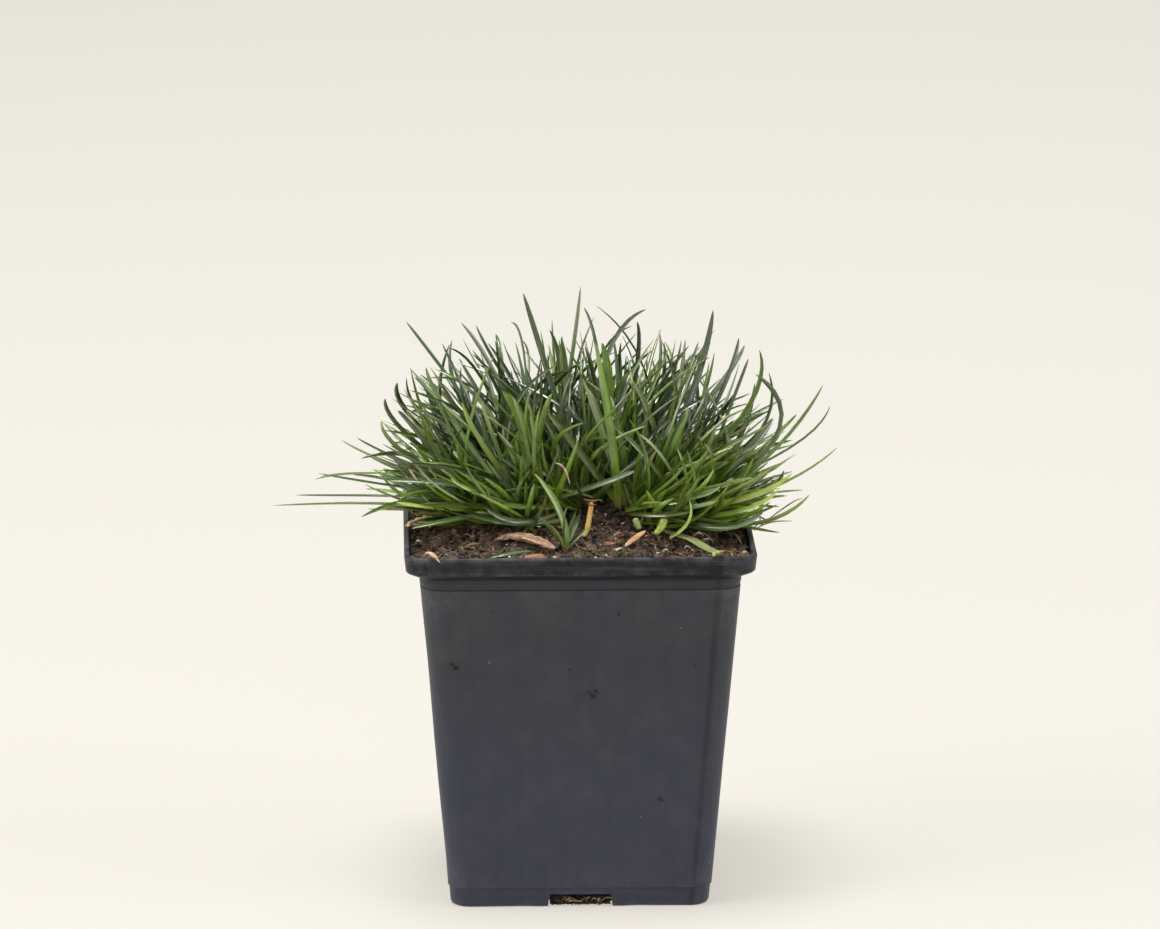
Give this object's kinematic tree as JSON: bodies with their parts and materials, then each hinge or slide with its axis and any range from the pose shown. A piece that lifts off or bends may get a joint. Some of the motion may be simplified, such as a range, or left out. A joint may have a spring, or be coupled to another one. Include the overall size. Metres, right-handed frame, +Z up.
{
  "type": "potted sea thrift",
  "caption": "Square tapered nursery pot full of dark soil, with a low tuft of narrow evergreen sea thrift leaves that spreads past the rim.",
  "frame": {"origin": "middle of the pot's flat underside", "axes": "+Z up, -Y towards the front, +X to the right seen from the front"},
  "size_m": [0.1458, 0.1034, 0.156],
  "materials": {
    "pot_plastic": "dark slate grey moulded plastic, satin, faintly streaked",
    "soil": "moist dark brown potting soil with pale fibres and grit",
    "rosette_leaves": "satin green narrow leaves, paler and yellower at the base",
    "leaf": "satin to glossy deep green narrow leaves",
    "husk": "dry pinkish tan plant husk and root",
    "straw": "dry straw-coloured stalk",
    "bark": "matt reddish brown bark",
    "cut_green": "dull olive green cut leaf with a pale cut end",
    "fallen_leaf": "dull dark green fallen leaf"
  },
  "bodies": {
    "root": {"pot": "pot_plastic", "potting_soil": "soil", "rosette_left_front": "rosette_leaves", "rosette_left": "rosette_leaves", "rosette_left_back": "rosette_leaves", "rosette_front_left": "rosette_leaves", "rosette_middle_left": "rosette_leaves", "rosette_middle_front": "rosette_leaves", "rosette_middle_right": "rosette_leaves", "rosette_front_right": "rosette_leaves", "rosette_right": "rosette_leaves", "rosette_right_front": "rosette_leaves", "rosette_back": "rosette_leaves", "rosette_right_back": "rosette_leaves", "rosette_sprig": "rosette_leaves", "leaf_01": "leaf", "leaf_02": "leaf", "leaf_03": "leaf", "leaf_04": "leaf", "leaf_05": "leaf", "leaf_06": "leaf", "leaf_07": "leaf", "leaf_08": "leaf", "leaf_09": "leaf", "leaf_10": "leaf", "leaf_11": "leaf", "leaf_12": "leaf", "leaf_13": "leaf", "leaf_14": "leaf", "leaf_15": "leaf", "leaf_16": "leaf", "leaf_17": "leaf", "leaf_18": "leaf", "leaf_19": "leaf", "leaf_20": "leaf", "leaf_21": "leaf", "leaf_22": "leaf", "leaf_23": "leaf", "leaf_24": "leaf", "leaf_25": "leaf", "leaf_26": "leaf", "leaf_27": "leaf", "leaf_28": "leaf", "leaf_29": "leaf", "leaf_30": "leaf", "leaf_31": "leaf", "leaf_32": "leaf", "leaf_33": "leaf", "leaf_34": "leaf", "leaf_35": "leaf", "leaf_36": "leaf", "husk": "husk", "straw_stalk": "straw", "splinter": "straw", "shredded_root": "husk", "bark_chip": "bark", "nugget": "bark", "cut_leaf": "cut_green", "cut_stub": "cut_green", "rim_leaf": "fallen_leaf"}
  },
  "joints": []
}
